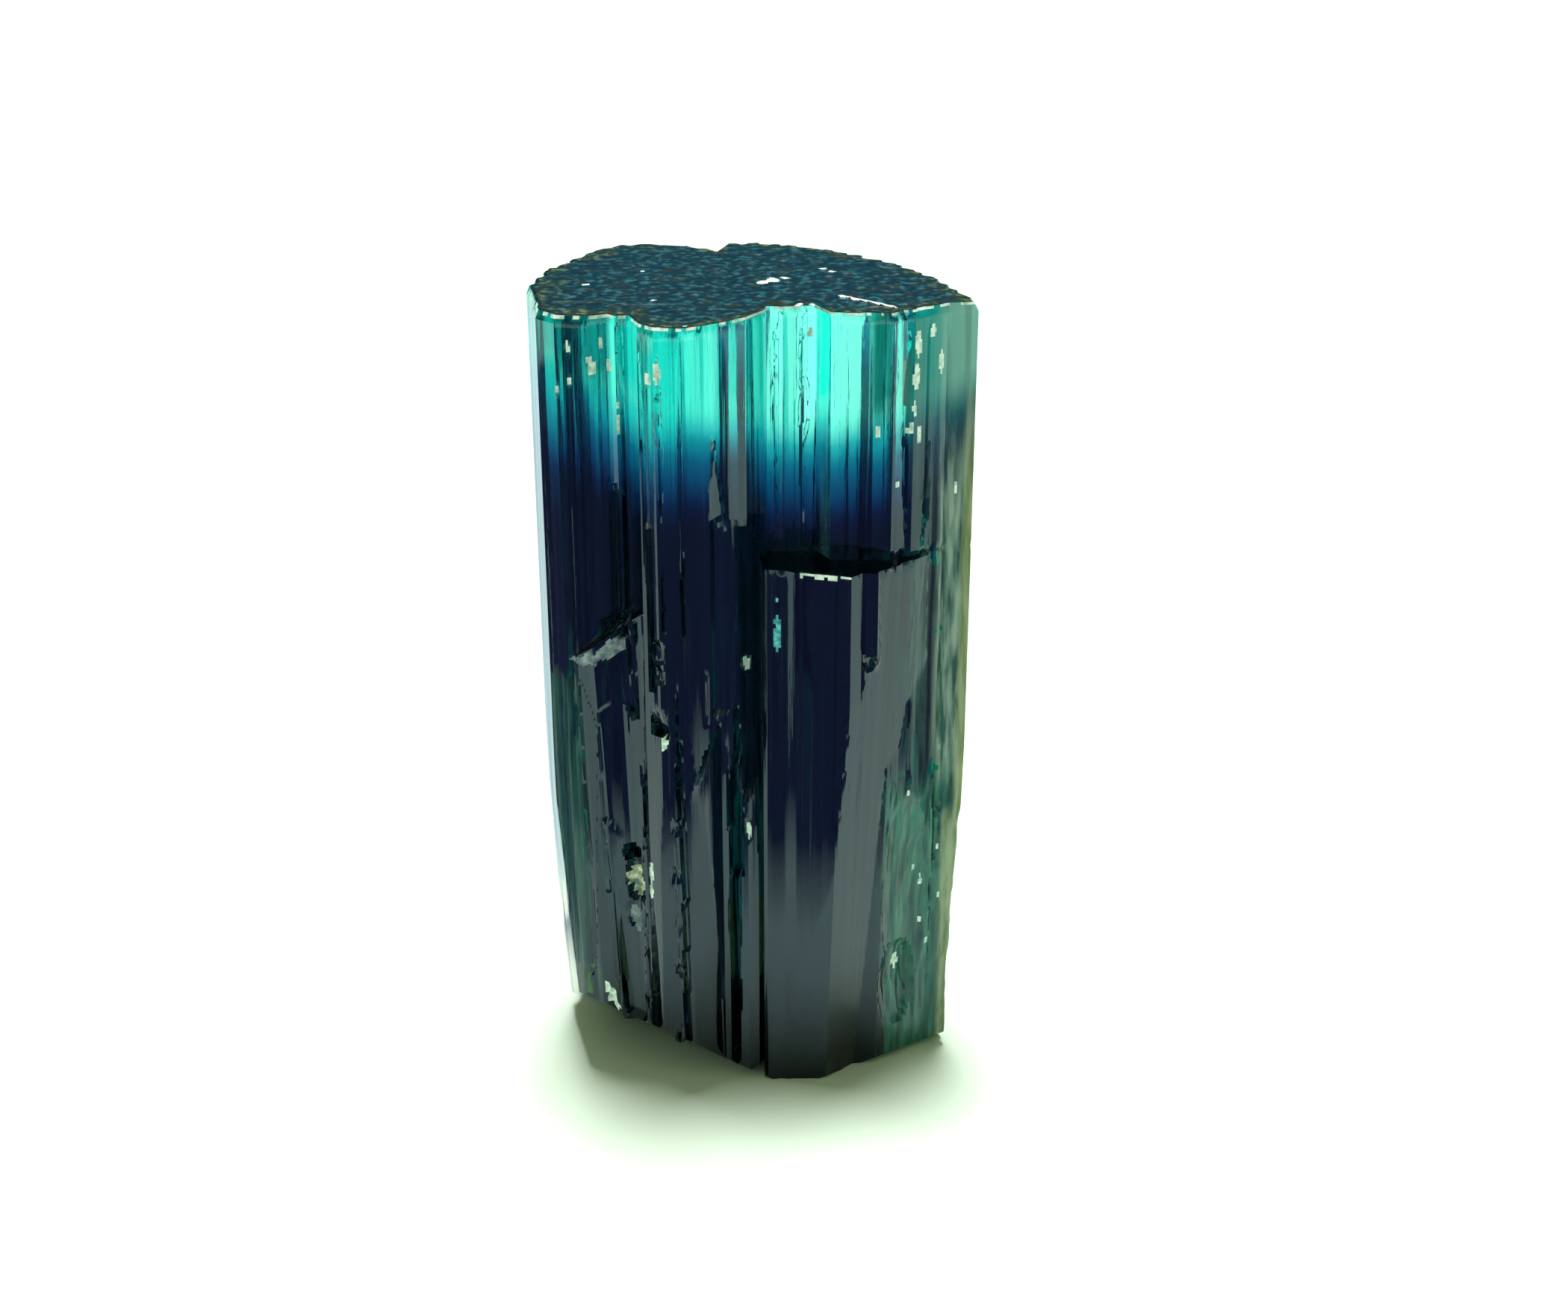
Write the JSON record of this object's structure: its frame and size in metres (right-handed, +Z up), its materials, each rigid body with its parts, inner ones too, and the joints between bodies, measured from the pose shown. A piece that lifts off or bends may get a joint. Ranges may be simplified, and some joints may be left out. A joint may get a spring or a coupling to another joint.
{
  "type": "tourmaline crystal",
  "caption": "Stout striated blue-cap tourmaline crystal standing on its broken base, with a flat dark top, a bright teal band, a near-black body and a smaller crystal grown on its front.",
  "frame": {"origin": "middle of the bounding box, on the surface that the crystal stands on", "axes": "+Z up along the crystal's long axis, -Y towards the pictured front, +X to the viewer's right"},
  "size_m": [0.0168, 0.0128, 0.032],
  "materials": {
    "tourmaline": "glossy natural crystal faces with fine growth striations, frosted where broken"
  },
  "bodies": {
    "root": {"tourmaline_crystal": "tourmaline"}
  },
  "joints": []
}
